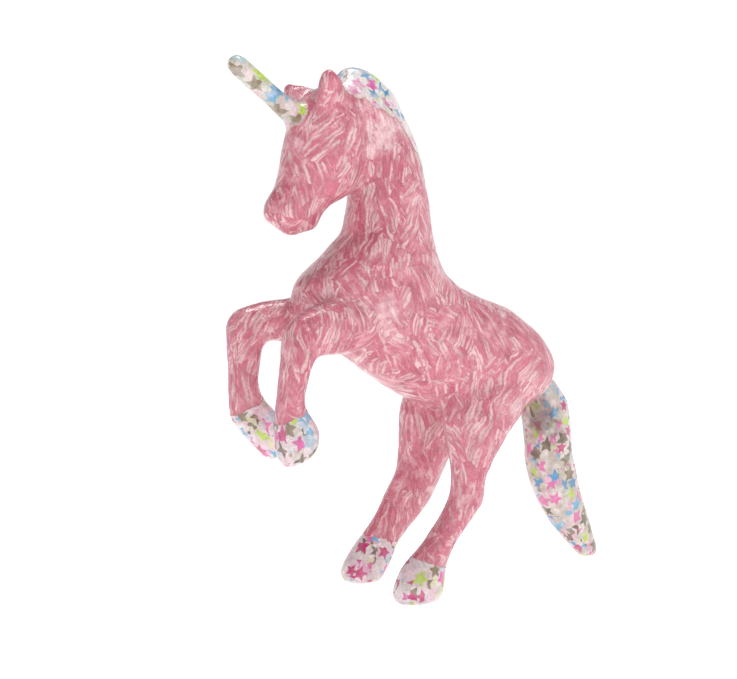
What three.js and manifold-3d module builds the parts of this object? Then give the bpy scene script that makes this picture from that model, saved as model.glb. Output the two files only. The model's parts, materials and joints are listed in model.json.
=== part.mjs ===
// A free-standing papier-mache unicorn, hollow, with a filling flap in its right flank.
// Millimetres, +Z up. The animal rears and faces -X; its left side is towards -Y.
// The origin is on the floor, under the centre of the bounding box.

import * as THREE from 'three';
import { mergeVertices } from 'three/addons/utils/BufferGeometryUtils.js';
import Module from 'manifold-3d';

const wasm = await Module();
wasm.setup();

// ---- Driving dimensions ----------------------------------------------------------------------

const LENGTH = 273.2;          // front hooves and horn tip to tail tip
const WIDTH = 81;              // across the hind hooves
const HEIGHT = 309.8;          // floor to the top of the mane

const WALL = 3;                // papier-mache wall of the body and head shells
const GAP = 0.3;               // clearance between pieces that are glued or that touch
const FORMER_THICKNESS = 2.5;  // card rings inside the body
const FORMER_HOLE_RADIUS = 17;
const COLLAR_WALL = 2;         // card collar that joins head and neck
const COLLAR_REACH = 11;       // how far the collar goes into each side of the joint
const CORE_RADIUS = 2;         // rods inside the legs and the tail
const HOOF_REACH = 13;         // how far a leg rod goes into its hoof
const HORN_LENGTH = 58;
const HORN_RADIUS = 5.3;
const HORN_BASE_RADIUS = 8;
const PEG_RADIUS = 3;
const PEG_REACH = 24;          // how far the horn peg goes into the horn
const PEG_ROOT = 10;           // how far it goes into the head
const FLAP_LENGTH = 46;        // along the hinge
const FLAP_DEPTH = 34;         // from the hinge to the free edge
const FLAP_CORNER = 7;
const FLAP_GAP = 0.8;

// The outlines below are drawn at these sizes, then scaled to the driving ones.
const DRAWN_LENGTH = 273.2;
const DRAWN_WIDTH = 81;
const DRAWN_HEIGHT = 309.8;
const SCALE = new THREE.Vector3(LENGTH / DRAWN_LENGTH, WIDTH / DRAWN_WIDTH, HEIGHT / DRAWN_HEIGHT);

const BODY_SIDES = 20;
const LIMB_SIDES = 12;
const ROD_SIDES = 8;
const DOME_STEPS = 2;

// How far each loft's closing domes stand out, first end and last end.
const TRUNK_DOMES = [3, 6];
const HEAD_DOMES = [5, 5];
const EAR_DOMES = [0, 3];
const MANE_DOMES = [2, 2];

// ---- Outlines --------------------------------------------------------------------------------
// A station is [frontX, frontZ, backX, backZ, halfWidth, y]: two points of the side outline, the
// half width of the section through them, and how far its middle stands from the mid-plane.

const TRUNK = [
  [109.5, 139, 105, 125, 15, 0],
  [106, 148.5, 93, 110, 29, 0],
  [97.5, 160, 70, 101, 36, 0],
  [80, 172, 40, 107, 37, 0],
  [58.5, 179.5, 10, 117, 36, 0],
  [39.5, 187, -15, 131, 35, 0],
  [28.5, 196, -38, 147, 34.5, 0],
  [24.5, 205, -57, 160, 34, 0],
  [22.5, 213, -70, 175, 32.5, 0],
  [21.5, 220, -67, 187.5, 29.5, 0],
  [20.5, 228, -52, 200.5, 26.5, 0],
  [18.5, 241, -35.5, 215.5, 23, 0],
  [15.5, 254, -33, 228, 21, 0],
  [10.5, 267, -31, 243, 20, 0],
  [2.5, 281, -37, 256, 20, 0],
  [-6, 291, -45, 266, 19.5, 0],
  [-17, 300, -52, 276, 18, 0],
  [-30, 305.5, -58, 286, 15, 0],
];

const HEAD = [
  [-56, 297, -24, 298, 14, 0],
  [-67, 289, -16, 280, 19, 0],
  [-72.5, 276, -20, 260, 20.5, 0],
  [-76, 262, -30, 242, 19.5, 0],
  [-78.5, 250, -41, 236, 16.5, 0],
  [-82, 241, -48, 232, 14, 0],
  [-87, 234.5, -53, 226.5, 12.5, 0],
  [-88.5, 227, -56.5, 220, 11.5, 0],
];

const MANE = [
  [-42, 301, -41, 307, 5, 0],
  [-37, 298, -35, 312, 8, 0],
  [-30, 294, -25, 311.5, 9.5, 0],
  [-20, 290, -14, 306, 9.5, 0],
  [-10, 283, -4, 298.5, 8.5, 0],
  [-2, 272, 5.5, 283, 7, 0],
  [4, 262, 13, 270, 5.5, 0],
  [9, 254, 18, 259, 4.5, 0],
  [13, 248, 19, 250, 3, 0],
];

const TAIL = [
  [94, 122, 108, 132, 8, 0],
  [98, 107, 122, 125, 10, 0],
  [101, 95, 133, 111, 12, 0],
  [102.5, 83, 136, 94, 13, 0],
  [103, 70, 138, 76, 13, 0],
  [107, 57, 142, 60, 12.5, 0],
  [114.5, 43, 147.5, 44, 11.5, 0],
  [125.5, 27, 154.5, 27.5, 10, 0],
  [138, 14, 161, 13, 8, 0],
  [147, 6, 163, 6, 6.5, 0],
  [150, 3, 161.5, 3, 5, 0],
];

const LEFT_FORELEG = [
  [-36, 181, -32, 152, 13, -18],
  [-60, 180, -50, 149, 14, -24],
  [-75, 176.5, -63, 149, 12, -27],
  [-86, 171, -71, 149, 10.5, -28],
  [-92.5, 162, -74, 147, 9.5, -28],
  [-94, 150, -76.5, 142, 9, -28],
  [-95, 138, -79, 134, 8.5, -28],
  [-96.5, 126, -80.5, 127, 8, -28],
  [-98, 112.5, -79, 120.5, 8.5, -28],
];
const LEFT_FORE_HOOF = [
  [-98, 112.5, -79, 120.5, 8.5, -28],
  [-98, 106, -75, 115, 10.5, -28],
  [-97, 99, -71.5, 108.5, 11.5, -28],
  [-94, 92.5, -72, 103, 11, -28],
  [-90.5, 90, -75, 98.5, 9, -28],
];

const RIGHT_FORELEG = [
  [-38, 181, -36, 153, 13, 18],
  [-60, 180, -55, 152, 13, 24],
  [-79, 177.5, -68, 154, 11.5, 27],
  [-93, 173.5, -74, 154, 10.5, 27],
  [-99, 166, -76, 151, 9.5, 27],
  [-99, 153, -78, 146, 9, 27],
  [-98, 139, -79.5, 136, 8.5, 27],
  [-98, 125, -79, 129, 8, 27],
  [-97, 111, -76, 121.5, 8.5, 27],
];
const RIGHT_FORE_HOOF = [
  [-97, 111, -76, 121.5, 8.5, 27],
  [-90, 102.5, -69, 114, 10.5, 27],
  [-82, 93, -62, 105.5, 11.5, 27],
  [-75.5, 86.5, -58, 98.5, 11, 27],
  [-71, 84.5, -59, 93.5, 9, 27],
];

const LEFT_HIND_LEG = [
  [30, 138, 84, 142, 15, -16],
  [22, 122, 84, 124, 17, -20],
  [19, 108, 77, 109, 17, -23],
  [20, 95, 62.5, 97, 15.5, -25],
  [22, 84, 50.5, 84, 13, -27],
  [22.5, 72, 43.5, 73, 11, -28],
  [21, 62, 42, 57, 10, -28],
  [14.5, 51, 31, 45, 9, -28],
  [5.5, 41.5, 22, 35, 8.5, -28],
  [-2.5, 33.5, 17, 25, 8.5, -28],
  [-9, 28, 14.5, 20, 9.5, -28],
];
const LEFT_HIND_HOOF = [
  [-9, 28, 14.5, 20, 9.5, -28],
  [-14.5, 21, 14, 14, 11.5, -28],
  [-19, 13, 12.5, 9, 12.5, -28],
  [-20, 6.5, 11.5, 5.5, 12, -28],
  [-17.5, 3, 9.5, 3, 9.5, -28],
];

const RIGHT_HIND_LEG = [
  [32, 138, 86, 142, 15, 16],
  [23, 124, 86, 121, 17, 20],
  [19.5, 110, 78, 105, 17, 23],
  [20.5, 96, 68, 89, 15, 25],
  [21.5, 83, 59, 76, 12.5, 27],
  [20, 69, 51.5, 61, 11, 28],
  [12.5, 57, 44, 48, 10, 28],
  [6, 46, 34, 37.5, 9, 28],
  [-1, 36.5, 24.5, 29, 8.5, 28],
  [-5.5, 31, 18.5, 23, 9.5, 28],
];
const RIGHT_HIND_HOOF = [
  [-5.5, 31, 18.5, 23, 9.5, 28],
  [-13, 22.5, 14, 15, 11.5, 28],
  [-19.5, 13, 9, 9, 12.5, 28],
  [-20.5, 6.5, 7, 5.5, 12, 28],
  [-18, 3, 5, 3, 9.5, 28],
];

const LEFT_EAR = [
  [-61, 284, -46, 286, 6, -11],
  [-63.5, 293, -45, 295, 6.5, -14.5],
  [-63, 299.5, -49, 301.5, 5, -17.5],
  [-61.5, 303.5, -54, 304.5, 3.5, -19],
];

const RIGHT_EAR = [
  [-61, 283, -46, 285, 6, 11],
  [-65, 291, -46, 293, 6.5, 14.5],
  [-66, 296.5, -51, 298, 5, 18],
  [-65, 299.5, -57, 300.5, 3.5, 20],
];

const HORN_ROOT = [-62, 277];        // where the horn's axis starts, inside the forehead
const HORN_TIP_AIM = [-107, 309];    // a point its axis passes through
const THROAT = [-36, 240];           // the head is joined to the neck on the plane through
const POLL = [-18, 303];             // these two points, square to the mid-plane
const CHIN_CLEARANCE = [-40, 212];   // a point in the free space between chin and chest
const TAIL_CORE_DEPTH = 6;           // how many of the tail's stations its rod reaches

const CHEST_FORMER_AT = 6.5;         // trunk stations that hold the card rings
const LOIN_FORMER_AT = 2.5;
const NECK_SEAM_AT = 9.5;            // the trunk station where the neck's shells start
const FLAP_AT = 4.25;                // the trunk station at the middle of the flap
const FLAP_RISE = 21;                // from the trunk's axis up to the hinge
const MID_PLANE = new THREE.Vector3(0, 1, 0);
const FAR = 4 * (LENGTH + HEIGHT);    // a cutting block is this large

// ---- Solids ----------------------------------------------------------------------------------

function solidOf(geometry) {
  const bare = geometry.clone();
  bare.deleteAttribute('normal');
  bare.deleteAttribute('uv');
  const merged = mergeVertices(bare, 1e-4);
  return new wasm.Manifold(new wasm.Mesh({
    numProp: 3,
    vertProperties: new Float32Array(merged.attributes.position.array),
    triVerts: new Uint32Array(merged.index.array),
  }));
}

function geometryOf(solid) {
  const mesh = solid.getMesh();
  const geometry = new THREE.BufferGeometry();
  geometry.setAttribute('position', new THREE.BufferAttribute(mesh.vertProperties, mesh.numProp));
  geometry.setIndex(new THREE.BufferAttribute(mesh.triVerts, 1));
  geometry.computeVertexNormals();
  return geometry;
}

function join(solids) {
  return solids.reduce((whole, solid) => whole.add(solid));
}

// Keeps the largest lump of a solid that a cut has left in several.
function largest(solid) {
  return solid.decompose().reduce((a, b) => (a.volume() > b.volume() ? a : b));
}

// ---- Lofts -----------------------------------------------------------------------------------

function outlineCurves(stations) {
  const curve = (pick) => new THREE.CatmullRomCurve3(stations.map((s) => pick(s).multiply(SCALE)));
  return {
    front: curve((s) => new THREE.Vector3(s[0], s[5], s[1])),
    back: curve((s) => new THREE.Vector3(s[2], s[5], s[3])),
    width: curve((s) => new THREE.Vector3(0, s[4], 0)),
    last: stations.length - 1,
  };
}

// The section at a station number, which may lie between two stations.
function sectionAt(curves, station) {
  const t = Math.min(Math.max(station / curves.last, 0), 1);
  const front = curves.front.getPoint(t);
  const back = curves.back.getPoint(t);
  const across = front.clone().sub(back);
  return {
    middle: front.clone().add(back).multiplyScalar(0.5),
    across: across.clone().normalize(),
    normal: new THREE.Vector3().crossVectors(across, MID_PLANE).normalize(),
    halfDepth: across.length() / 2,
    halfWidth: curves.width.getPoint(t).y,
  };
}

// The sections that close an end: a dome's, or the one flat section.
function endSections(section, outward, dome, grow) {
  if (dome === 0) return [section];
  const sections = [];
  for (let k = 0; k <= DOME_STEPS; k += 1) {
    const turn = (Math.PI / 2) * (k / (DOME_STEPS + 1));
    sections.push({
      ...section,
      middle: section.middle.clone().addScaledVector(outward, (dome + grow) * Math.sin(turn)),
      shrink: Math.cos(turn),
    });
  }
  return sections;
}

// A closed loft through the stations. The ends are domes of the given heights, or flat at height
// 0. grow moves the whole surface outwards, or inwards where it is negative.
function loft(stations, { sides = LIMB_SIDES, steps = 1, domes = [0, 0], grow = 0, trims = [0, 0] } = {}) {
  const curves = outlineCurves(stations);
  const rows = curves.last * steps;
  const sections = [];
  for (let i = 0; i <= rows; i += 1) sections.push(sectionAt(curves, i / steps));
  const along = sections[1].middle.clone().sub(sections[0].middle);
  const flip = Math.sign(sections[0].normal.dot(along)) || 1;
  const startOut = sections[0].normal.clone().multiplyScalar(-flip);
  const endOut = sections[rows].normal.clone().multiplyScalar(flip);
  sections[0].middle.addScaledVector(startOut, -trims[0]);
  sections[rows].middle.addScaledVector(endOut, -trims[1]);
  const start = endSections(sections[0], startOut, domes[0], grow).reverse();
  const end = endSections(sections[rows], endOut, domes[1], grow);
  const rings = [...start, ...sections.slice(1, rows), ...end];

  const geometry = new THREE.CylinderGeometry(1, 1, 1, sides, rings.length - 1);
  const place = geometry.attributes.position;
  const startPole = sections[0].middle.clone().addScaledVector(startOut, domes[0] && domes[0] + grow);
  const endPole = sections[rows].middle.clone().addScaledVector(endOut, domes[1] && domes[1] + grow);
  for (let i = 0; i < place.count; i += 1) {
    const x = place.getX(i);
    const z = place.getZ(i);
    const row = Math.round((0.5 - place.getY(i)) * (rings.length - 1));
    const ring = rings[row];
    const spread = ring.shrink ?? 1;
    const point = ring.middle.clone();
    if (Math.hypot(x, z) < 0.5) point.copy(row === 0 ? startPole : endPole);
    point.addScaledVector(ring.across, x * (ring.halfDepth + grow) * spread);
    point.addScaledVector(MID_PLANE, z * flip * (ring.halfWidth + grow) * spread);
    place.setXYZ(i, point.x, point.y, point.z);
  }
  return solidOf(geometry);
}

// A round rod along the points, or the hole that it runs in where grow is its clearance.
function rod(points, radius, grow = 0) {
  const ends = points.map((p) => p.clone());
  const last = ends.length - 1;
  const reach = (a, b) => a.clone().sub(b).normalize().multiplyScalar(grow);
  ends[0].add(reach(ends[0], ends[1]));
  ends[last].add(reach(ends[last], ends[last - 1]));
  const shape = new THREE.Shape().absarc(0, 0, radius + grow, 0, Math.PI * 2);
  return solidOf(new THREE.ExtrudeGeometry(shape, {
    extrudePath: new THREE.CatmullRomCurve3(ends),
    steps: last,
    curveSegments: ROD_SIDES / 2,
  }));
}

// The half of space beyond a plane, as a large block.
function beyond(point, normal, offset = 0) {
  const block = new THREE.BoxGeometry(FAR, FAR, FAR).translate(0, 0, FAR / 2 + offset);
  block.applyQuaternion(new THREE.Quaternion().setFromUnitVectors(new THREE.Vector3(0, 0, 1), normal));
  block.translate(point.x, point.y, point.z);
  return solidOf(block);
}

function slab(point, normal, thickness) {
  return beyond(point, normal, -thickness / 2)
    .subtract(beyond(point, normal, thickness / 2));
}

const inSide = ([x, z]) => new THREE.Vector3(x, 0, z).multiply(SCALE);

// ---- Body and head skins ---------------------------------------------------------------------

function figure(grow) {
  return join([
    loft(TRUNK, { sides: BODY_SIDES, domes: TRUNK_DOMES, grow }),
    loft(HEAD, { sides: BODY_SIDES, steps: 2, domes: HEAD_DOMES, grow }),
  ]);
}

const outside = figure(0);
const clearOutside = figure(GAP);
const cavity = figure(-WALL);
const lining = figure(-WALL - GAP);
const shell = outside.subtract(cavity);

// ---- Rods ------------------------------------------------------------------------------------

// The middle line of a leg, on into its hoof.
function legLine(leg, hoof) {
  const curves = outlineCurves(leg);
  const points = [];
  for (let i = 0; i <= curves.last; i += 1) points.push(sectionAt(curves, i).middle);
  const inHoof = sectionAt(outlineCurves(hoof), 1).middle.sub(points[curves.last]).normalize();
  points.push(points[curves.last].clone().addScaledVector(inHoof, HOOF_REACH));
  return points;
}

function tailLine() {
  const curves = outlineCurves(TAIL);
  const points = [inSide([92, 131])];
  for (let i = 0; i <= TAIL_CORE_DEPTH; i += 1) points.push(sectionAt(curves, i).middle);
  return points;
}

const LEGS = [
  { name: 'left_fore', leg: 'left_foreleg', outline: LEFT_FORELEG, hoof: LEFT_FORE_HOOF },
  { name: 'right_fore', leg: 'right_foreleg', outline: RIGHT_FORELEG, hoof: RIGHT_FORE_HOOF },
  { name: 'left_hind', leg: 'left_hind_leg', outline: LEFT_HIND_LEG, hoof: LEFT_HIND_HOOF },
  { name: 'right_hind', leg: 'right_hind_leg', outline: RIGHT_HIND_LEG, hoof: RIGHT_HIND_HOOF },
];
for (const leg of LEGS) leg.line = legLine(leg.outline, leg.hoof);

const rodHoles = join([...LEGS.map((leg) => leg.line), tailLine()]
  .map((line) => rod(line, CORE_RADIUS, GAP)));

// ---- Horn ------------------------------------------------------------------------------------

const hornRoot = inSide(HORN_ROOT);
const hornAxis = inSide(HORN_TIP_AIM).sub(hornRoot).normalize();

// Turns a solid of revolution about Z so that it points along the horn, from the given distance.
function alongHorn(profile, sides, from) {
  const turned = new THREE.LatheGeometry(profile, sides).rotateX(Math.PI / 2);
  turned.applyQuaternion(new THREE.Quaternion().setFromUnitVectors(new THREE.Vector3(0, 0, 1), hornAxis));
  const start = hornRoot.clone().addScaledVector(hornAxis, from);
  return solidOf(turned.translate(start.x, start.y, start.z));
}

function cylinderProfile(radius, length) {
  return [[0, 0], [radius, 0], [radius, length], [0, length]].map(([r, h]) => new THREE.Vector2(r, h));
}

function hornProfile() {
  const tipStart = HORN_LENGTH - HORN_RADIUS;
  const points = [new THREE.Vector2(0, 0), new THREE.Vector2(HORN_BASE_RADIUS, 0)];
  points.push(new THREE.Vector2(HORN_RADIUS, HORN_LENGTH / 2.5));
  for (let k = 0; k <= 4; k += 1) {
    const turn = (Math.PI / 2) * (k / 4);
    const radius = k === 4 ? 0 : HORN_RADIUS * Math.cos(turn);
    points.push(new THREE.Vector2(radius, tipStart + HORN_RADIUS * Math.sin(turn)));
  }
  return points;
}

const pegHole = alongHorn(cylinderProfile(PEG_RADIUS + GAP, PEG_ROOT + PEG_REACH + 2 * GAP), 12, -PEG_ROOT);

// ---- Filling flap ----------------------------------------------------------------------------

const trunkCurves = outlineCurves(TRUNK);
const flapMiddle = sectionAt(trunkCurves, FLAP_AT).middle;
const hingeAxis = sectionAt(trunkCurves, FLAP_AT - 1).middle
  .sub(sectionAt(trunkCurves, FLAP_AT + 1).middle).normalize();
const flapUp = new THREE.Vector3().crossVectors(hingeAxis, MID_PLANE).normalize();

// A block through the right flank with the flap's rounded outline, larger by grow all round.
function flapBlock(grow) {
  const halfLength = FLAP_LENGTH / 2 + grow;
  const top = FLAP_RISE + grow;
  const bottom = FLAP_RISE - FLAP_DEPTH - grow;
  const corner = FLAP_CORNER + grow;
  const shape = new THREE.Shape();
  shape.moveTo(-halfLength, top);
  shape.lineTo(-halfLength, bottom + corner);
  shape.absarc(-halfLength + corner, bottom + corner, corner, Math.PI, 1.5 * Math.PI);
  shape.absarc(halfLength - corner, bottom + corner, corner, 1.5 * Math.PI, 2 * Math.PI);
  shape.lineTo(halfLength, top);
  const block = new THREE.ExtrudeGeometry(shape, { depth: FAR, bevelEnabled: false, curveSegments: 5 });
  const basis = new THREE.Matrix4().makeBasis(hingeAxis, flapUp, MID_PLANE.clone());
  if (basis.determinant() < 0) basis.makeBasis(hingeAxis.clone().negate(), flapUp, MID_PLANE.clone());
  block.applyMatrix4(basis);
  return solidOf(block.translate(flapMiddle.x, GAP, flapMiddle.z));
}

// ---- Sub-parts -------------------------------------------------------------------------------

const jointRise = inSide(POLL).sub(inSide(THROAT)).normalize();
const jointNormal = new THREE.Vector3().crossVectors(MID_PLANE.clone().negate(), jointRise);

// The space in front of the head joint and above the chest, larger by grow.
function headSpace(grow) {
  return beyond(inSide(THROAT), jointNormal, -grow)
    .intersect(beyond(inSide(CHIN_CLEARANCE), new THREE.Vector3(0, 0, 1), -grow));
}

const leftSide = beyond(new THREE.Vector3(), MID_PLANE.clone().negate(), GAP / 2);
const rightSide = beyond(new THREE.Vector3(), MID_PLANE, GAP / 2);

const neckSeam = sectionAt(trunkCurves, NECK_SEAM_AT);
const aboveNeckSeam = (offset) => beyond(neckSeam.middle, neckSeam.normal, offset);
const headless = shell.subtract(headSpace(GAP / 2)).subtract(rodHoles);
const bodyShell = headless.subtract(aboveNeckSeam(-GAP / 2));
const neckShell = headless.intersect(aboveNeckSeam(GAP / 2));
const headShell = shell.intersect(headSpace(-GAP / 2)).subtract(pegHole);

function former(station) {
  const { middle, normal } = sectionAt(trunkCurves, station);
  const hole = new THREE.CylinderGeometry(FORMER_HOLE_RADIUS, FORMER_HOLE_RADIUS, FAR, 20);
  hole.applyQuaternion(new THREE.Quaternion().setFromUnitVectors(new THREE.Vector3(0, 1, 0), normal));
  return largest(lining.intersect(slab(middle, normal, FORMER_THICKNESS)))
    .subtract(solidOf(hole.translate(middle.x, middle.y, middle.z)))
    .subtract(rodHoles);
}

function neckCollar() {
  return lining.subtract(figure(-WALL - GAP - COLLAR_WALL))
    .intersect(slab(inSide(THROAT), jointNormal, 2 * COLLAR_REACH))
    .intersect(beyond(inSide(THROAT), jointRise, -COLLAR_REACH / 2))
    .subtract(pegHole);
}

function leg({ outline, line }) {
  return largest(loft(outline, { trims: [0, GAP / 2] }).subtract(clearOutside))
    .subtract(rod(line, CORE_RADIUS, GAP));
}

function hoof({ hoof: outline, line }) {
  return loft(outline, { trims: [GAP / 2, 0] }).subtract(rod(line, CORE_RADIUS, GAP));
}

function horn() {
  return largest(alongHorn(hornProfile(), 16, 0).subtract(clearOutside)).subtract(pegHole);
}

function hornPeg() {
  return alongHorn(cylinderProfile(PEG_RADIUS, PEG_ROOT + PEG_REACH), 12, GAP - PEG_ROOT);
}

function ear(stations) {
  return largest(loft(stations, { domes: EAR_DOMES }).subtract(clearOutside));
}

function mane() {
  return largest(loft(MANE, { domes: MANE_DOMES }).subtract(clearOutside));
}

function tail() {
  return largest(loft(TAIL).subtract(clearOutside)).subtract(rod(tailLine(), CORE_RADIUS, GAP));
}

// ---- Assembly --------------------------------------------------------------------------------

const PINK = { color: 0xd07691, roughness: 0.35, metalness: 0 };
const STAR = { color: 0xe6dcd2, roughness: 0.35, metalness: 0 };
const CARD = { color: 0xb08d62, roughness: 0.85, metalness: 0 };
const WOOD = { color: 0xc9a878, roughness: 0.7, metalness: 0 };

const group = new THREE.Group();

function addPiece(name, solid, finish) {
  const mesh = new THREE.Mesh(geometryOf(solid), new THREE.MeshStandardMaterial(finish));
  mesh.name = name;
  group.add(mesh);
}

addPiece('left_body_shell', bodyShell.intersect(leftSide), PINK);
addPiece('right_body_shell', bodyShell.intersect(rightSide).subtract(flapBlock(FLAP_GAP)), PINK);
addPiece('fill_flap', shell.intersect(flapBlock(0)), PINK);
addPiece('left_neck_shell', neckShell.intersect(leftSide), PINK);
addPiece('right_neck_shell', neckShell.intersect(rightSide), PINK);
addPiece('left_head_shell', headShell.intersect(leftSide), PINK);
addPiece('right_head_shell', headShell.intersect(rightSide), PINK);
addPiece('neck_collar', neckCollar(), CARD);
addPiece('chest_former', former(CHEST_FORMER_AT), CARD);
addPiece('loin_former', former(LOIN_FORMER_AT), CARD);
for (const part of LEGS) {
  addPiece(part.leg, leg(part), PINK);
  addPiece(`${part.name}_hoof`, hoof(part), STAR);
  addPiece(`${part.name}_core`, rod(part.line, CORE_RADIUS), WOOD);
}
addPiece('tail', tail(), STAR);
addPiece('tail_core', rod(tailLine(), CORE_RADIUS), WOOD);
addPiece('horn', horn(), STAR);
addPiece('horn_peg', hornPeg(), CARD);
addPiece('left_ear', ear(LEFT_EAR), PINK);
addPiece('right_ear', ear(RIGHT_EAR), PINK);
addPiece('mane_crest', mane(), STAR);

// Stand the figure on the floor with its bounding box centred on the origin.
const bounds = new THREE.Box3().setFromObject(group);
const centre = bounds.getCenter(new THREE.Vector3());
for (const mesh of group.children) mesh.geometry.translate(-centre.x, -centre.y, -bounds.min.z);

export default group;
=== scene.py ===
"""The papier-mache unicorn's looks: one lumpy paper skin, cut into its papers, over the CAD frame."""

import json
import math

import bmesh
import bpy
import numpy as np
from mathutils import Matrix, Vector, kdtree, noise


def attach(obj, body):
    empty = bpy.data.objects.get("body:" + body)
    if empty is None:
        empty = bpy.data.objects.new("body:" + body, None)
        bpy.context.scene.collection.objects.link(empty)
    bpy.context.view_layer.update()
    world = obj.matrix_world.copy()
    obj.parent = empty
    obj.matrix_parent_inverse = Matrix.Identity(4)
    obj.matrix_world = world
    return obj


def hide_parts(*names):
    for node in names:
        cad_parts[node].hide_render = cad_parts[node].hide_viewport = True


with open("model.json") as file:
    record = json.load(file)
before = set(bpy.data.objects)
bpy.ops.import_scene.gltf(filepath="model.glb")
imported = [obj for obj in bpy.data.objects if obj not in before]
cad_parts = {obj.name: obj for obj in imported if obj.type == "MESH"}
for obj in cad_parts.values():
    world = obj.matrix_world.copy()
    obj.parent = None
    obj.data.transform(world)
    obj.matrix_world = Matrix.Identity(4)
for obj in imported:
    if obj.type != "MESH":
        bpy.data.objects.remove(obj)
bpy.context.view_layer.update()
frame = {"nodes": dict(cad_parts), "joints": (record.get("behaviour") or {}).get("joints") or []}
nodes = frame["nodes"]

MM = 0.001
FINE_VOXEL = 1.25 * MM
VOXEL = FINE_VOXEL  # the paper skin's grid
COARSE_VOXEL = 2.6 * MM  # the hollow's
REGION_VOXEL = 1.6 * MM  # the star papers'
FORM_SMOOTHING = 60  # passes at the fine grid
HOLLOW_SMOOTHING = 12
REGION_SMOOTHING = 4
WALL = 3 * MM
SEAM = 0.5 * MM  # pieces are swollen by this to close the gaps between them
PAPER = 0.25 * MM  # the star paper lies this far above the pink
STAR_OVERLAP = {"horn": 3.6 * MM, "mane_crest": 6.0 * MM}  # how far it laps onto the pink
MANE_FLARE = 11 * MM  # how much further at the top of the mane
STAR_NOTCH = 0.45  # how far the notches between a star's points are from its middle, of its radius
HALF_POINT = math.pi / 5  # the turn from a star's point to the next notch
FULL_TURN = 6.3  # about a whole turn, in radians
ROLLED_SEED = 0.7  # where in the star pattern the horn's one sheet lies
USUAL_OVERLAP = 1.6 * MM
BORDER_WANDER = 0.8  # of the overlap
BORDER_WAVE = 7 * MM
SLACK = 0.3 * MM  # round rods and the horn's peg, and between the flap's outline and the mid-plane
FLAP_GAP = 0.8 * MM
HINGE_SHARE = 0.25  # of that gap, along the paper hinge
FLAP_CORNER = 7 * MM
CORNER_STEPS = 8
FAR_OUT = 80 * MM
SHARP_EDGE = 50  # degrees

PINK_PATCH = 24 * MM
STAR_PATCH = 27 * MM
PATCH_STEP = 0.28 * MM  # how much higher the highest patch lies than the lowest
LUMPS = ((26 * MM, 1.5 * MM), (9 * MM, 0.55 * MM), (3.6 * MM, 0.22 * MM))  # size, height

# Wads of paper under the skin that fill the form out, in millimetres: middle, radii.
HEAD_WADS = [
    ((-83.5, 13.5, 291.0), (11.5, 5.0, 8.0)),  # the right ear's ridge
    ((-83.5, -14.5, 299.0), (4.8, 3.6, 4.8)),  # the left ear's tip
    ((-98.0, 0.0, 220.5), (9.5, 8.0, 8.6)),  # the chin
]
TAIL_WADS = [
    ((94.5, 0.0, 61.0), (10.5, 10.5, 10.5)),
    ((98.5, 0.0, 47.0), (10.8, 10.0, 10.8)),
    ((106.5, 0.0, 34.0), (10.2, 9.0, 10.2)),
    ((116.5, 0.0, 21.0), (8.6, 7.5, 8.6)),
]

# Where the pink is painted pale as varnish sheen, a painted highlight: middle and radius, in millimetres.
SHEEN_SPOTS = [
    ((-102, -12, 262), 10),
    ((-60, -12, 286), 14),
    ((-48, -12, 274), 18),
    ((-24, -15, 210), 12),
    ((-22, -17, 196), 13),
    ((-70, -22, 171), 10),
    ((-56, -28, 170), 11),
    ((48, -10, 160), 13),
    ((29, -20, 156), 12),
    ((-34, -15, 120), 9),
]

TAIL_STAIN_AND_SHADE = ((79, -8, 96), 30)  # the same for the dark patch at the tail's root, part stain and part painted shade under the rump

SHELLS = [
    "left_body_shell",
    "right_body_shell",
    "left_neck_shell",
    "right_neck_shell",
    "left_head_shell",
    "right_head_shell",
]
LIMBS = ["left_foreleg", "right_foreleg", "left_hind_leg", "right_hind_leg", "left_ear", "right_ear"]
STAR_PARTS = [
    "horn",
    "mane_crest",
    "tail",
    "left_fore_hoof",
    "right_fore_hoof",
    "left_hind_hoof",
    "right_hind_hoof",
]
WOOD_RODS = {  # each rod, and the star-papered part that it runs into
    "left_fore_core": "left_fore_hoof",
    "right_fore_core": "right_fore_hoof",
    "left_hind_core": "left_hind_hoof",
    "right_hind_core": "right_hind_hoof",
    "tail_core": "tail",
}
RODS = WOOD_RODS | {"horn_peg": "horn"}
CARD_PARTS = ["neck_collar", "chest_former", "loin_former", "horn_peg"]


# ---- Meshes -------------------------------------------------------------------------------------


def new_object(name, vertices, faces):
    mesh = bpy.data.meshes.new(name)
    mesh.from_pydata([tuple(v) for v in vertices], [], faces)
    made = bpy.data.objects.new(name, mesh)
    bpy.context.scene.collection.objects.link(made)
    return made


def copy_of(source, name):
    made = bpy.data.objects.new(name, source.data.copy())
    bpy.context.scene.collection.objects.link(made)
    return made


def remove(*objects):
    for each in objects:
        bpy.data.objects.remove(each)


def bake(target):
    """Applies the object's modifiers."""
    graph = bpy.context.evaluated_depsgraph_get()
    mesh = bpy.data.meshes.new_from_object(target.evaluated_get(graph))
    target.modifiers.clear()
    target.data = mesh


def points_of(target):
    points = np.zeros(len(target.data.vertices) * 3)
    target.data.vertices.foreach_get("co", points)
    return points.reshape(-1, 3)


def normals_of(target):
    normals = np.zeros(len(target.data.vertices) * 3)
    target.data.vertices.foreach_get("normal", normals)
    return normals.reshape(-1, 3)


def set_points(target, points):
    target.data.vertices.foreach_set("co", points.astype(np.float32).ravel())
    target.data.update()


def grow(target, distance):
    set_points(target, points_of(target) + normals_of(target) * distance)


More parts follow.
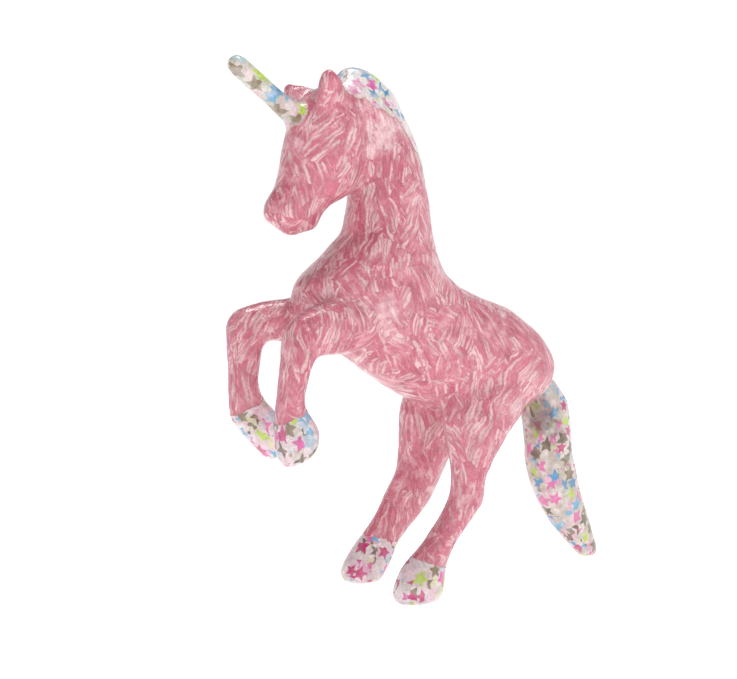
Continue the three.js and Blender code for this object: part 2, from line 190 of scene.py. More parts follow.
def swollen(name, members, distance):
    """Copies of CAD nodes in one mesh, each swollen by a distance."""
    vertices, faces = [], []
    for member in members:
        piece = bmesh.new()
        piece.from_mesh(nodes[member].data)
        bmesh.ops.remove_doubles(piece, verts=piece.verts, dist=0.001 * MM)
        piece.normal_update()
        first = len(vertices)
        vertices += [v.co + v.normal * distance for v in piece.verts]
        faces += [[v.index + first for v in face.verts] for face in piece.faces]
        piece.free()
    return new_object(name, vertices, faces)


def remesh(target, voxel):
    modifier = target.modifiers.new("grid", "REMESH")
    modifier.mode = "VOXEL"
    modifier.voxel_size = voxel
    bake(target)


def boolean(target, operation, cutter):
    modifier = target.modifiers.new("cut", "BOOLEAN")
    modifier.operation = operation
    modifier.solver = "MANIFOLD"
    modifier.material_mode = "TRANSFER"
    modifier.object = cutter
    bake(target)


def edge_averager(target):
    """A function that averages a value per vertex over each vertex's neighbours."""
    edges = np.zeros(len(target.data.edges) * 2, np.int64)
    target.data.edges.foreach_get("vertices", edges)
    a, b = edges.reshape(-1, 2).T
    count = len(target.data.vertices)
    valence = np.bincount(a, minlength=count) + np.bincount(b, minlength=count)

    def average(values):
        total = [
            np.bincount(a, values[b, k], count) + np.bincount(b, values[a, k], count)
            for k in range(values.shape[1])
        ]
        return np.stack(total, 1) / np.maximum(valence, 1)[:, None]

    return average


def smooth(target, passes):
    """Takes out facets. What the smoothing drew in is itself smoothed and put back, twice, so that the
    form keeps its size."""
    average = edge_averager(target)

    def relax(values):
        for _ in range(passes):
            values = 0.5 * values + 0.5 * average(values)
        return values

    start = points_of(target)
    points = relax(start)
    for _ in range(2):
        points = points + relax(start - points)
    set_points(target, points)


# ---- Nodes --------------------------------------------------------------------------------------


class Graph:
    """Adds nodes to a tree. An input is a number, a vector or another node's output."""

    def __init__(self, tree):
        self.tree = tree

    def add(self, kind, inputs=None, **settings):
        node = self.tree.nodes.new(kind)
        for key, value in settings.items():
            setattr(node, key, value)
        for key, value in (inputs or {}).items():
            self.put(node.inputs[key], value)
        return node

    def put(self, socket, value):
        if isinstance(value, bpy.types.NodeSocket):
            self.tree.links.new(value, socket)
        else:
            socket.default_value = value

    def math(self, operation, *values):
        return self.add("ShaderNodeMath", dict(enumerate(values)), operation=operation).outputs[0]

    def length(self, x, y):
        squares = self.math("ADD", self.math("POWER", x, 2.0), self.math("POWER", y, 2.0))
        return self.math("SQRT", squares)

    def vector(self, operation, *values, scale=None):
        node = self.add("ShaderNodeVectorMath", dict(enumerate(values)), operation=operation)
        if scale is not None:
            self.put(node.inputs["Scale"], scale)
        single = operation in ("DOT_PRODUCT", "LENGTH", "DISTANCE")
        return node.outputs["Value" if single else "Vector"]

    def join(self, x, y, z):
        return self.add("ShaderNodeCombineXYZ", {"X": x, "Y": y, "Z": z}).outputs[0]

    def split(self, vector):
        return self.add("ShaderNodeSeparateXYZ", {"Vector": vector}).outputs

    def noise(self, vector, scale, detail=2.0, roughness=0.5, distortion=0.0):
        wanted = {
            "Vector": vector,
            "Scale": scale,
            "Detail": detail,
            "Roughness": roughness,
            "Distortion": distortion,
        }
        return self.add("ShaderNodeTexNoise", wanted).outputs

    def step(self, value, start, end, low=0.0, high=1.0):
        """From low to high as the value goes from start to end, smoothly."""
        wanted = {"Value": value, "From Min": start, "From Max": end, "To Min": low, "To Max": high}
        return self.add("ShaderNodeMapRange", wanted, interpolation_type="SMOOTHSTEP").outputs[0]

    def mix(self, share, a, b):
        node = self.add("ShaderNodeMix", data_type="RGBA")
        for socket, value in zip((node.inputs[0], node.inputs[6], node.inputs[7]), (share, a, b)):
            self.put(socket, value)
        return node.outputs[2]

    def choose(self, value, colours):
        """One of the colours, in equal shares of the value's range."""
        ramp = self.add("ShaderNodeValToRGB", {"Fac": value})
        ramp.color_ramp.interpolation = "CONSTANT"
        elements = ramp.color_ramp.elements
        while len(elements) < len(colours):
            elements.new(1.0)
        for index, colour in enumerate(colours):
            elements[index].position = index / len(colours)
            elements[index].color = colour
        return ramp.outputs["Color"]


def colour(red, green, blue):
    """A display colour, 0 to 255, as the linear one that nodes take."""
    parts = [c / 255 for c in (red, green, blue)]
    return tuple(c / 12.92 if c <= 0.04045 else ((c + 0.055) / 1.055) ** 2.4 for c in parts) + (1.0,)


def patches(graph, place, size):
    """Torn paper patches: a wandering place, its patch's centre and random colour, and how far the
    patch's border is."""
    wander = graph.vector("SUBTRACT", graph.noise(place, 2 / size, 2.0)["Color"], (0.5, 0.5, 0.5))
    moved = graph.vector("ADD", place, graph.vector("SCALE", wander, scale=0.55 * size))
    wanted = {"Vector": moved, "Scale": 1 / size}
    cell = graph.add("ShaderNodeTexVoronoi", wanted)
    border = graph.add("ShaderNodeTexVoronoi", wanted, feature="DISTANCE_TO_EDGE")
    edge = graph.math("MULTIPLY", border.outputs["Distance"], size)
    return moved, cell.outputs["Position"], cell.outputs["Color"], edge


def relief_modifier(target):
    """Lumps, and patches of paper each a little higher or lower than the next."""
    tree = bpy.data.node_groups.new("relief", "GeometryNodeTree")
    tree.interface.new_socket(name="Geometry", in_out="INPUT", socket_type="NodeSocketGeometry")
    tree.interface.new_socket(name="Geometry", in_out="OUTPUT", socket_type="NodeSocketGeometry")
    graph = Graph(tree)
    place = graph.add("GeometryNodeInputPosition").outputs[0]
    normal = graph.add("GeometryNodeInputNormal").outputs[0]
    patch = patches(graph, place, PINK_PATCH)
    level = graph.math("SUBTRACT", graph.split(patch[2])["Z"], 0.5)
    height = graph.math("MULTIPLY", level, PATCH_STEP)
    for size, depth in LUMPS:
        lump = graph.math("SUBTRACT", graph.noise(place, 1 / size, 1.0)["Fac"], 0.5)
        height = graph.math("ADD", height, graph.math("MULTIPLY", lump, depth))
    offset = graph.vector("SCALE", normal, scale=height)
    start = graph.add("NodeGroupInput")
    moved = graph.add("GeometryNodeSetPosition", {"Geometry": start.outputs[0], "Offset": offset})
    end = graph.add("NodeGroupOutput")
    tree.links.new(moved.outputs[0], end.inputs[0])
    modifier = target.modifiers.new("relief", "NODES")
    modifier.node_group = tree


# ---- Materials ----------------------------------------------------------------------------------


def material(name):
    made = bpy.data.materials.new(name)
    made.use_nodes = True
    graph = Graph(made.node_tree)
    return made, graph, made.node_tree.nodes["Principled BSDF"]


def rest_place(graph):
    return graph.add("ShaderNodeTexCoord").outputs["Object"]


def patch_frame(graph, place, size, upright, facets=1.25):
    """Where a point is in its own patch: two lengths along the paper, the patch's random colour and its
    border's distance. A patch ends where the surface turns away from it, too, so it stays nearly flat.
    The higher upright is, the more the patches' first direction agrees with up, and the higher facets
    is, the less a patch bends round."""
    _, centre, chance, edge = patches(graph, place, size)
    smooth_normal = graph.add("ShaderNodeAttribute", attribute_name="paper_normal").outputs["Vector"]
    stray = graph.vector("SUBTRACT", graph.noise(place, 1 / (6 * MM), 1.0)["Color"], (0.5, 0.5, 0.5))
    turned = graph.vector("ADD", smooth_normal, graph.vector("SCALE", stray, scale=0.3))
    facing = graph.add("ShaderNodeTexVoronoi", {"Vector": turned, "Scale": facets})
    normal = graph.vector("NORMALIZE", facing.outputs["Position"])
    chance = graph.vector("FRACTION", graph.vector("ADD", chance, facing.outputs["Color"]))
    turn = graph.vector("SUBTRACT", chance, (0.5, 0.5, 0.5))
    aim = graph.vector("ADD", graph.vector("SCALE", turn, scale=2.0), (0.05, 0.0, upright))
    out = graph.vector("SCALE", normal, scale=graph.vector("DOT_PRODUCT", aim, normal))
    along = graph.vector("NORMALIZE", graph.vector("SUBTRACT", aim, out))
    across = graph.vector("CROSS_PRODUCT", normal, along)
    inside = graph.vector("SUBTRACT", place, centre)
    u = graph.vector("DOT_PRODUCT", inside, along)
    v = graph.vector("DOT_PRODUCT", inside, across)
    return u, v, chance, edge


def rolled_frame(graph, place, foot, axis):
    """Where a point is on one sheet rolled round an axis: two lengths along the paper, and its seed."""
    side = axis.cross(Vector((0, 1, 0))).normalized()
    inside = graph.vector("SUBTRACT", place, tuple(foot))
    a = graph.vector("DOT_PRODUCT", inside, tuple(side))
    b = graph.vector("DOT_PRODUCT", inside, tuple(axis.cross(side)))
    reach = graph.length(a, b)
    turn = graph.math("MULTIPLY", graph.math("ARCTAN2", a, b), reach)
    return graph.vector("DOT_PRODUCT", inside, tuple(axis)), turn, ROLLED_SEED


def stroke(graph, u, v, seed, length, width, distortion):
    """Noise drawn out into strokes along u."""
    place = graph.join(graph.math("DIVIDE", u, length), graph.math("DIVIDE", v, width), seed)
    return graph.noise(place, 1.0, 1.0, 0.45, distortion)["Fac"]


def specks_and_fold_shade(graph, paper, place):
    """The paper a little darker in specks, and in folds where shade is painted."""
    speck = graph.step(graph.noise(place, 1 / (1.5 * MM), 3.0, 0.6)["Fac"], 0.3, 0.7, 0.86, 1.08)
    # painted shade: random folds darkened, standing in for the shade in the paper's creases
    fold_shade = graph.step(graph.noise(place, 1 / (7 * MM), 3.0, 0.6)["Fac"], 0.3, 0.6, 0.88, 1.04)
    return graph.vector("SCALE", paper, scale=graph.math("MULTIPLY", speck, fold_shade))


def varnish(graph, surface, u, v, seed, place, edge):
    """Brushed varnish over paper: fine wrinkles and the patches' edges, under a clear coat."""
    crease = stroke(graph, u, v, seed, 7 * MM, 2.2 * MM, 0.8)
    grain = graph.noise(place, 1 / (1.6 * MM), 2.0)["Fac"]
    lip = graph.step(edge, 0.0, 0.7 * MM)
    height = graph.math("ADD", graph.math("MULTIPLY", crease, 0.30), graph.math("MULTIPLY", grain, 0.10))
    height = graph.math("ADD", height, graph.math("MULTIPLY", lip, 0.07))
    bump = graph.add("ShaderNodeBump", {"Height": height, "Distance": 1.3 * MM, "Strength": 1.0})
    graph.put(surface.inputs["Normal"], bump.outputs[0])
    graph.put(surface.inputs["Coat Normal"], bump.outputs[0])
    graph.put(surface.inputs["Roughness"], 0.5)
    graph.put(surface.inputs["Coat Weight"], 0.75)
    graph.put(surface.inputs["Coat Roughness"], 0.18)


def bars(graph, u, v, seed, length, width, share):
    """Long leaf-like brush marks side by side along u: how far a point is in a marked one, the thin rims
    between them, and the mark's own chance."""
    flat = graph.join(u, v, graph.math("MULTIPLY", seed, MM))
    bend = graph.math("MULTIPLY", graph.noise(flat, 1 / (1.1 * length), 1.0)["Fac"], 5.5)
    wobble = graph.math("MULTIPLY", graph.noise(flat, 1 / (2.4 * MM), 1.0)["Fac"], 0.9)
    across = graph.math("ADD", graph.math("DIVIDE", v, width), graph.math("ADD", bend, wobble))
    place = graph.join(graph.math("ADD", graph.math("DIVIDE", u, length), seed), across, 0.0)
    wanted = {"Vector": place, "Scale": 1.0, "Randomness": 0.8}
    cell = graph.add("ShaderNodeTexVoronoi", wanted, voronoi_dimensions="2D")
    border = graph.add("ShaderNodeTexVoronoi", wanted, voronoi_dimensions="2D", feature="DISTANCE_TO_EDGE")
    own = graph.split(cell.outputs["Color"])
    marked = graph.math("LESS_THAN", own["X"], share)
    inside = graph.step(border.outputs["Distance"], 0.0, 0.3)
    rim = graph.step(border.outputs["Distance"], 0.02, 0.1, 1.0, 0.0)
    return graph.math("MULTIPLY", marked, inside), rim, own["Y"]


def tissue_and_sheen(graph, place):
    """How pale the pink is at a place: thin tissue in random clouds, and painted varnish sheen, a painted
    highlight, round the listed spots.
    """
    cloud = graph.noise(place, 1 / (14 * MM), 4.0, 0.65)["Fac"]
    share = graph.step(cloud, 0.54, 0.7, 0.0, 0.3)
    # painted highlight: the pink turns pale round each spot, as varnish sheen
    for middle, radius in SHEEN_SPOTS:
        away = graph.vector("DISTANCE", place, tuple(c * MM for c in middle))
        near = graph.step(away, 0.0, 1.7 * radius * MM, 0.6, 0.1)
        wanted = graph.math("MULTIPLY_ADD", graph.math("SUBTRACT", cloud, 0.5), 1.4, near)
        share = graph.math("MAXIMUM", share, graph.step(wanted, 0.2, 0.75, 0.0, 0.7))
    return share


def pink_paper():
    """Pink paper printed with pale, wavy brush marks."""
    made, graph, surface = material("pink_paper")
    place = rest_place(graph)
    u, v, chance, edge = patch_frame(graph, place, PINK_PATCH, 1.3)
    tones = graph.split(chance)
    seed = graph.math("MULTIPLY", tones["Y"], 70.0)
    share = graph.math("MULTIPLY_ADD", tones["X"], 0.30, 0.30)
    broad, rim, own = bars(graph, u, v, seed, 17 * MM, 1.95 * MM, share)
    fine, _, _ = bars(graph, u, v, graph.math("ADD", seed, 9.3), 9 * MM, 1.1 * MM, 0.3)
    ground = graph.mix(tones["Z"], colour(205, 103, 127), colour(188, 85, 108))
    cloud = graph.step(graph.noise(place, 1 / (12 * MM), 2.0)["Fac"], 0.35, 0.65)
    ground = graph.mix(graph.math("MULTIPLY", cloud, 0.4), ground, colour(214, 127, 143))
    light = graph.mix(own, colour(232, 194, 196), colour(214, 168, 170))
    paper = graph.mix(graph.math("MULTIPLY", broad, 0.95), ground, light)
    paper = graph.mix(graph.math("MULTIPLY", rim, 0.25), paper, colour(216, 166, 168))
    paper = graph.mix(graph.math("MULTIPLY", fine, 0.35), paper, light)
    # thin tissue, and painted varnish sheen as a painted highlight, turn the pink pale
    paper = graph.mix(tissue_and_sheen(graph, place), paper, colour(240, 214, 216))
    # darker specks, and painted shade in the folds
    paper = specks_and_fold_shade(graph, paper, place)
    graph.put(surface.inputs["Base Color"], paper)
    varnish(graph, surface, u, v, seed, place, edge)
    return made


MAGENTA, ROSE = colour(192, 26, 108), colour(216, 92, 160)
BLUE, SKY = colour(66, 142, 188), colour(96, 168, 204)
LIME, OLIVE = colour(178, 206, 62), colour(128, 108, 74)
BROWN = colour(98, 80, 54)
TAIL_INKS = [MAGENTA, BLUE, LIME, BROWN, ROSE, SKY, OLIVE]
HOOF_INKS = [MAGENTA, BROWN, LIME, MAGENTA, SKY, OLIVE, ROSE]
HORN_INKS = [BLUE, OLIVE, SKY, BLUE, LIME]
MANE_INKS = [SKY, LIME, ROSE, OLIVE, BLUE, ROSE]
FAINT_INKS = [
    colour(224, 140, 188),
    colour(136, 184, 208),
    colour(204, 212, 134),
    colour(186, 176, 158),
]


def stars(graph, u, v, seed, spacing, radius, share, inks):
    """Five-pointed stars, turned at random, in a share of the cells of a loose grid: their mask and
    their colour."""
    place = graph.join(u, v, 0.0)
    place = graph.vector("ADD", place, graph.join(seed, graph.math("MULTIPLY", seed, 0.37), 0.0))
    cell = graph.add(
        "ShaderNodeTexVoronoi",
        {"Vector": place, "Scale": 1 / spacing, "Randomness": 0.5},
        voronoi_dimensions="2D",
    )
    own = graph.split(cell.outputs["Color"])
    offset = graph.split(graph.vector("SUBTRACT", place, cell.outputs["Position"]))
    reach = graph.length(offset["X"], offset["Y"])
    heading = graph.math("ARCTAN2", offset["Y"], offset["X"])
    angle = graph.math("ADD", heading, graph.math("MULTIPLY", own["X"], FULL_TURN))
    turn = graph.math("PINGPONG", angle, HALF_POINT)
    size = graph.math("MULTIPLY_ADD", own["Y"], 0.35 * radius, 0.8 * radius)
    # The side of a star runs from a point at its radius to a notch at STAR_NOTCH of it.
    notch = (STAR_NOTCH * math.sin(HALF_POINT), 1 - STAR_NOTCH * math.cos(HALF_POINT))
    side = Vector(notch).normalized()
    out = graph.math("MULTIPLY", reach, graph.math("COSINE", turn))
    level = graph.math("MULTIPLY", graph.math("SUBTRACT", out, size), side.x)
    rise = graph.math("MULTIPLY", graph.math("MULTIPLY", reach, graph.math("SINE", turn)), side.y)
    mask = graph.step(graph.math("ADD", level, rise), -0.22 * MM, 0.24 * MM, 1.0, 0.0)
    there = graph.math("LESS_THAN", graph.math("FRACT", graph.math("MULTIPLY", own["X"], 13.7)), share)
    return graph.math("MULTIPLY", mask, there), graph.choose(own["Z"], inks)


def stained_and_shaded(graph, paper, place, middle, radius):
    """The paper with a patchy dark patch, part stain and part painted shade, fading out towards a radius.
    """
    away = graph.vector("DISTANCE", place, tuple(c * MM for c in middle))
    patchy = graph.math("MULTIPLY_ADD", graph.noise(place, 1 / (6 * MM), 3.0)["Fac"], 1.6, -0.8)
    dark = graph.math("ADD", graph.step(away, 0.0, radius * MM, 0.8, 0.0), patchy)
    # the dark colour: a stain together with painted shade
    return graph.mix(graph.step(dark, 0.3, 0.8, 0.0, 0.7), paper, colour(96, 66, 62))


def star_paper(name, ground, shade, inks, star, wash, fade, wrap=None, stain_and_shade=None):
    """Pale paper printed with coloured stars of a radius, a second faint layer showing through it. The
    wash is how milky the varnish over it is, and the fade how far from its border the paper is thin.
    Wrap is an axis to roll it round, and stain_and_shade the middle and radius of a dark patch, part stain
    and part painted shade."""
    made, graph, surface = material(name)
    place = rest_place(graph)
    u, v, chance, edge = patch_frame(graph, place, STAR_PATCH, 0.0, 1.0)
    seed = graph.math("MULTIPLY", graph.split(chance)["Y"], 3.0)
    if wrap is not None:
        u, v, seed = rolled_frame(graph, place, *wrap)
    cloud = graph.step(graph.noise(place, 1 / (8 * MM), 2.0)["Fac"], 0.35, 0.65)
    paper = graph.mix(cloud, colour(*ground), colour(*shade))
    blush = graph.step(graph.noise(place, 1 / (13 * MM), 1.0)["Fac"], 0.48, 0.66, 0.0, 0.4)
    paper = graph.mix(blush, paper, colour(230, 184, 200))
    under, faint = stars(graph, u, v, graph.math("ADD", seed, 0.31), 1.8 * star, star, 0.6, FAINT_INKS)
    paper = graph.mix(graph.math("MULTIPLY", under, 0.55), paper, faint)
    over, strong = stars(graph, u, v, seed, 1.65 * star, star, 0.7, inks)
    ink = graph.step(graph.noise(place, 1 / (3 * MM), 2.0)["Fac"], 0.3, 0.6, 0.8, 1.0)
    paper = graph.mix(graph.math("MULTIPLY", over, ink), paper, strong)
    milky = graph.step(graph.noise(place, 1 / (9 * MM), 3.0, 0.6)["Fac"], 0.4, 0.62, 0.0, wash)
    paper = graph.mix(milky, paper, colour(238, 230, 230))
    if stain_and_shade is not None:
        # a dark patch at the tail's root: stain and painted shade under the rump
        paper = stained_and_shaded(graph, paper, place, *stain_and_shade)
    border = graph.add("ShaderNodeAttribute", attribute_name="paper_border").outputs["Fac"]
    thin = graph.step(border, 0.0, fade, 0.75, 0.0)
    paper = graph.mix(thin, paper, colour(228, 186, 194))
    # darker specks, and painted shade in the folds
    paper = specks_and_fold_shade(graph, paper, place)
    graph.put(surface.inputs["Base Color"], paper)
    varnish(graph, surface, u, v, seed, place, edge)
    return made


def pulp():
    """The bare papier-mache inside: brown-grey, fibrous and matt."""
    made, graph, surface = material("pulp")
    place = rest_place(graph)
    fibre = graph.noise(place, 1 / (2.5 * MM), 6.0, 0.65, 0.6)["Fac"]
    scrap = graph.noise(place, 1 / (16 * MM), 1.0)["Fac"]
    paper = graph.mix(graph.step(scrap, 0.42, 0.58), colour(178, 160, 134), colour(160, 140, 112))
    paper = graph.mix(graph.step(fibre, 0.45, 0.65), paper, colour(196, 182, 158))
    bump = graph.add("ShaderNodeBump", {"Height": fibre, "Distance": 0.5 * MM})
    graph.put(surface.inputs["Base Color"], paper)
    graph.put(surface.inputs["Roughness"], 0.9)
    graph.put(surface.inputs["Normal"], bump.outputs[0])
    return made


def card():
    """Grey-brown card."""
    made, graph, surface = material("card")
    speck = graph.noise(rest_place(graph), 1 / (1.2 * MM), 4.0)["Fac"]
    tone = graph.mix(graph.step(speck, 0.4, 0.62), colour(168, 136, 98), colour(186, 156, 118))
    graph.put(surface.inputs["Base Color"], tone)
    graph.put(surface.inputs["Roughness"], 0.85)
    return made


def wood():
    """Pale softwood with its grain along the rod."""
    made, graph, surface = material("wood")
    place = graph.vector("MULTIPLY", rest_place(graph), (1 / MM, 1 / MM, 0.08 / MM))
    grain = graph.noise(place, 0.8, 4.0, 0.6)["Fac"]
    tone = graph.mix(graph.step(grain, 0.38, 0.62), colour(214, 184, 138), colour(190, 154, 106))
    graph.put(surface.inputs["Base Color"], tone)
    graph.put(surface.inputs["Roughness"], 0.65)
    return made


# ---- Paper skin ---------------------------------------------------------------------------------


def paint(target, *materials):
    target.data.materials.clear()
    for each in materials:
        target.data.materials.append(each)


def add_wad(target, middle, radii):
    """Adds an ellipsoid to a mesh, in millimetres."""
    piece = bmesh.new()
    piece.from_mesh(target.data)
    made = bmesh.ops.create_uvsphere(piece, u_segments=24, v_segments=16, radius=1.0)
    for vertex in made["verts"]:
        vertex.co = Vector(middle) * MM + Vector([c * r * MM for c, r in zip(vertex.co, radii)])
    piece.to_mesh(target.data)
    piece.free()


def outer_form():
    """One closed surface over every outer piece, with their seams closed."""
    form = swollen("form", [*SHELLS, *LIMBS, *STAR_PARTS, *WOOD_RODS, "fill_flap"], SEAM)
    for wad in HEAD_WADS + TAIL_WADS:
        add_wad(form, *wad)
    remesh(form, VOXEL)
    grow(form, -SEAM)
    smooth(form, round(FORM_SMOOTHING * (FINE_VOXEL / VOXEL) ** 2))
    return form


def inner_form():
    """The hollow of the trunk and the head."""
    form = swollen("hollow", SHELLS + ["fill_flap"], SEAM)
    remesh(form, COARSE_VOXEL)
    smooth(form, HOLLOW_SMOOTHING)
    grow(form, -SEAM - WALL)
    remesh(form, COARSE_VOXEL)
    return form


def star_region(part):
    """The room that a star-papered part takes up, with a wandering border."""
    overlap = STAR_OVERLAP.get(part, USUAL_OVERLAP)
    region = swollen(part + "_region", [part], overlap)
    if part == "tail":
        for middle, radii in TAIL_WADS:
            add_wad(region, middle, [r + overlap / MM for r in radii])
    remesh(region, REGION_VOXEL)
    smooth(region, REGION_SMOOTHING)
    points, normals = points_of(region), normals_of(region)
    wander = np.array([noise.noise(Vector(p) / BORDER_WAVE) for p in points])
    reach = wander * BORDER_WANDER * overlap
    if part == "mane_crest":
        low, high = points[:, 2].min(), points[:, 2].max()
        reach += MANE_FLARE * (points[:, 2] - low) / (high - low)
    set_points(region, points + normals * reach[:, None])
    return region


def prism(name, near, far):
    """A closed block between two outlines with the same number of points."""
    count = len(near)
    faces = [[k, (k + 1) % count, (k + 1) % count + count, k + count] for k in range(count)]
    faces += [list(range(count))[::-1], list(range(count, 2 * count))]
    block = new_object(name, near + far, faces)
    shell = bmesh.new()
    shell.from_mesh(block.data)
    bmesh.ops.recalc_face_normals(shell, faces=shell.faces)
    shell.to_mesh(block.data)
    shell.free()
    return block


def flap_outline(reach, rise, hinge, margin):
    """The filling flap's outline, square at the hinge and rounded at its free corners. It is larger than
    the flap by a margin, of which the hinge's side has only a share."""
    low, high = min(rise), max(rise)
    free_end, hinge_end = (low, high) if abs(hinge - high) < abs(hinge - low) else (high, low)
    inward = 1 if free_end < hinge_end else -1
    free_end -= inward * margin
    hinge_end += inward * margin * HINGE_SHARE
    corner = FLAP_CORNER + margin
    outline = []
    for end, side in ((min(reach) - margin, 1), (max(reach) + margin, -1)):
        outline.append((end, hinge_end))
        centre = (end + side * corner, free_end + inward * corner)
        for k in range(CORNER_STEPS + 1):
            turn = math.pi / 2 * k / CORNER_STEPS
            across, down = corner * math.cos(turn), corner * math.sin(turn)
            outline.append((centre[0] - side * across, centre[1] - inward * down))
    middle = (sum(reach) / len(reach), (low + high) / 2)
    outline.sort(key=lambda p: math.atan2(p[1] - middle[1], p[0] - middle[0]))
    return outline


def flap_block(name, margin):
    """The filling flap's outline taken through the flank."""
    joint = frame["joints"][0]
    along = Vector(joint["axis"]).normalized()
    out = Vector((0, 1, 0))
    up = along.cross(out)
    points = [Vector(v.co) for v in nodes["fill_flap"].data.vertices]
    reach = [p.dot(along) for p in points]
    rise = [p.dot(up) for p in points]
    outline = flap_outline(reach, rise, Vector(joint["pos_m"]).dot(up), margin)
    near = [along * a + up * b + out * SLACK for a, b in outline]
    return prism(name, near, [p + out * FAR_OUT for p in near])


def tree_of(target):
    """Finds the nearest of an object's points."""
    points = points_of(target)
    tree = kdtree.KDTree(len(points))
    for index, point in enumerate(points):
        tree.insert(point, index)
    tree.balance()
    return tree


def keep_border(piece, region):
    """Gives each point of a paper how far it is from the paper's border."""
    tree = tree_of(region)
    reach = [tree.find(v.co)[2] for v in piece.data.vertices]
    piece.data.attributes.new("paper_border", "FLOAT", "POINT").data.foreach_set("value", reach)


def axis_of(node):
    """The middle of a long node and the direction it runs in."""
    points = points_of(node)
    middle = points.mean(0)
    return Vector(middle), Vector(np.linalg.svd(points - middle, full_matrices=False)[2][0])


def star_papers():
    """Each part's own star paper."""
    greys = {
        "hoof": ((230, 216, 216), (208, 188, 192)),
        "tail": ((216, 206, 198), (182, 168, 158)),
        "mane": ((232, 226, 222), (214, 204, 200)),
        "horn": ((212, 212, 196), (178, 178, 160)),
    }
    thin = 0.8 * MM
    hoof = star_paper("hoof_paper", *greys["hoof"], HOOF_INKS, 5.8 * MM, 0.1, thin)
    # the tail's paper has a dark patch at its root: stain and painted shade under the rump
    tail = star_paper("tail_paper", *greys["tail"], TAIL_INKS, 5.6 * MM, 0.1, thin, stain_and_shade=TAIL_STAIN_AND_SHADE)
    mane = star_paper("mane_paper", *greys["mane"], MANE_INKS, 5.4 * MM, 0.5, 4 * MM)
    around = axis_of(nodes["horn"])
    horn = star_paper("horn_paper", *greys["horn"], HORN_INKS, 6.6 * MM, 0.3, 2.5 * MM, wrap=around)
    papers = {part: hoof for part in STAR_PARTS}
    papers.update(tail=tail, mane_crest=mane, horn=horn)
    return papers


def keep_normals(pieces, form, normals):
    """Gives each piece the paper's own direction at each point, before lumps and wrinkles."""
    tree = tree_of(form)
    for piece in pieces:
        found = [tree.find(v.co)[1] for v in piece.data.vertices]
        attribute = piece.data.attributes.new("paper_normal", "FLOAT_VECTOR", "POINT")
        attribute.data.foreach_set("vector", normals[found].astype(np.float32).ravel())


def finish_piece(piece, name, body, replaced):
    """Keeps a piece above the floor, smooths its shading and puts it on its body."""
    piece.name = name
    points = points_of(piece)
    points[:, 2] = np.maximum(points[:, 2], 0)
    set_points(piece, points)
    piece.data.validate()
    piece.data.polygons.foreach_set("use_smooth", [True] * len(piece.data.polygons))
    piece.data.set_sharp_from_angle(angle=math.radians(SHARP_EDGE))
    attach(piece, body)
    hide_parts(*replaced)


def cut_flap(form, skin, hollow, bare):
    """Cuts the filling flap out of the form, and its opening out of the skin."""
    flap = copy_of(form, "flap")
    block = flap_block("flap_block", 0.0)
    opening = flap_block("flap_opening", FLAP_GAP)
    for cutter in (block, opening):
        paint(cutter, bare)
    boolean(skin, "DIFFERENCE", opening)
    boolean(flap, "INTERSECT", block)
    boolean(flap, "DIFFERENCE", hollow)
    remove(block, opening)
    return flap


def cut_star_papers(form, skin, papers, bare):
    """Cuts the star papers out of the form, a little proud of it, and their room out of the skin."""
    proud = copy_of(form, "proud")
    grow(proud, PAPER)
    pieces = {}
    for part in STAR_PARTS:
        region = star_region(part)
        paint(region, bare)
        piece = copy_of(proud, part + "_paper")
        paint(piece, papers[part])
        boolean(piece, "INTERSECT", region)
        keep_border(piece, region)
        boolean(skin, "DIFFERENCE", region)
        remove(region)
        pieces[part] = piece
    remove(proud)
    return pieces


def cut_channels(skin, papered, bare):
    """Bores the skin and the star papers for the rods and the horn's peg."""
    for rod, part in RODS.items():
        channel = swollen(rod + "_channel", [rod], SLACK)
        paint(channel, bare)
        boolean(skin, "DIFFERENCE", channel)
        boolean(papered[part], "DIFFERENCE", channel)
        remove(channel)


def paper_skin():
    """The pink skin, the flap and the star papers, all cut from one lumpy surface."""
    pink, papers, bare = pink_paper(), star_papers(), pulp()
    form = outer_form()
    normals = normals_of(form)
    relief_modifier(form)
    bake(form)
    paint(form, pink)
    hollow = inner_form()
    paint(hollow, bare)

    skin = copy_of(form, "skin")
    boolean(skin, "DIFFERENCE", hollow)
    flap = cut_flap(form, skin, hollow, bare)
    papered = cut_star_papers(form, skin, papers, bare)
    cut_channels(skin, papered, bare)

    keep_normals([skin, flap, *papered.values()], form, normals)
    finish_piece(skin, "pink_skin", "figure", SHELLS + LIMBS)
    finish_piece(flap, "flap_paper", "flap", ["fill_flap"])
    for part, piece in papered.items():
        finish_piece(piece, part + "_paper", "figure", [part])
    remove(form, hollow)


def inside_pieces():
    """The CAD's card and wood pieces are shown as they are."""
    for members, finish in ((CARD_PARTS, card()), (WOOD_RODS, wood())):
        for member in members:
            paint(nodes[member], finish)


# ---- Studio -------------------------------------------------------------------------------------


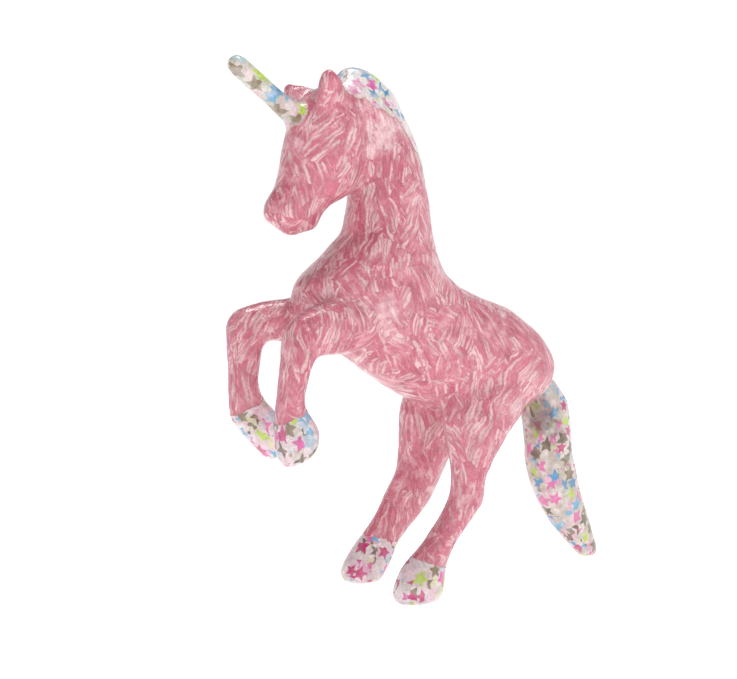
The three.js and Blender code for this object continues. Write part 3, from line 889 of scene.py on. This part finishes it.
def floor():
    size = 6.0
    corners = [(-size, -size, 0), (size, -size, 0), (size, size, 0), (-size, size, 0)]
    made = new_object("floor", corners, [[0, 1, 2, 3]])
    finish, graph, surface = material("floor")
    graph.put(surface.inputs["Base Color"], colour(205, 205, 205))
    graph.put(surface.inputs["Roughness"], 0.9)
    graph.put(surface.inputs["Specular IOR Level"], 0.1)
    graph.put(surface.inputs["Emission Color"], colour(255, 255, 255))
    graph.put(surface.inputs["Emission Strength"], 0.85)
    paint(made, finish)


def lamp(name, place, target, size, power):
    light = bpy.data.lights.new(name, "AREA")
    light.shape = "DISK"
    light.size = size
    light.energy = power
    made = bpy.data.objects.new(name, light)
    bpy.context.scene.collection.objects.link(made)
    made.location = place
    made.rotation_euler = (Vector(target) - Vector(place)).to_track_quat("-Z", "Y").to_euler()


def studio():
    world = bpy.data.worlds.new("studio")
    bpy.context.scene.world = world
    bpy.context.scene.view_settings.view_transform = "Standard"
    world.use_nodes = True
    graph = Graph(world.node_tree)
    height = graph.math("ABSOLUTE", graph.split(graph.add("ShaderNodeTexCoord").outputs["Generated"])["Z"])
    sky = world.node_tree.nodes["Background"]
    sky.inputs["Color"].default_value = (1.0, 1.0, 1.0, 1.0)
    graph.put(sky.inputs["Strength"], graph.step(height, 0.24, 0.5, 1.05, 0.2))
    middle = (0.0, 0.0, 0.16)
    lamp("key", (-0.85, -0.75, 0.95), middle, 0.3, 1.6)
    lamp("side", (0.9, -0.8, 0.7), middle, 0.4, 1.3)
    lamp("front", (0.0, -1.0, 0.8), middle, 0.2, 1.7)
    lamp("top", (0.1, 0.1, 1.4), middle, 0.5, 8.0)


def camera():
    """From the front left, a little above the middle, without roll."""
    azimuth, elevation, distance = math.radians(-33), math.radians(4), 0.72
    aim = Vector((-46.4, 0, 152)) * MM
    back = Vector((
        math.sin(azimuth) * math.cos(elevation),
        -math.cos(azimuth) * math.cos(elevation),
        math.sin(elevation),
    ))
    data = bpy.data.cameras.new("camera")
    data.sensor_width = 36
    data.lens = 59.8
    data.dof.use_dof = False
    data.clip_start, data.clip_end = 0.01, 50
    made = bpy.data.objects.new("camera", data)
    bpy.context.scene.collection.objects.link(made)
    made.location = aim + back * distance
    made.rotation_euler = (-back).to_track_quat("-Z", "Y").to_euler()
    bpy.context.scene.camera = made


paper_skin()
inside_pieces()
floor()
studio()
camera()
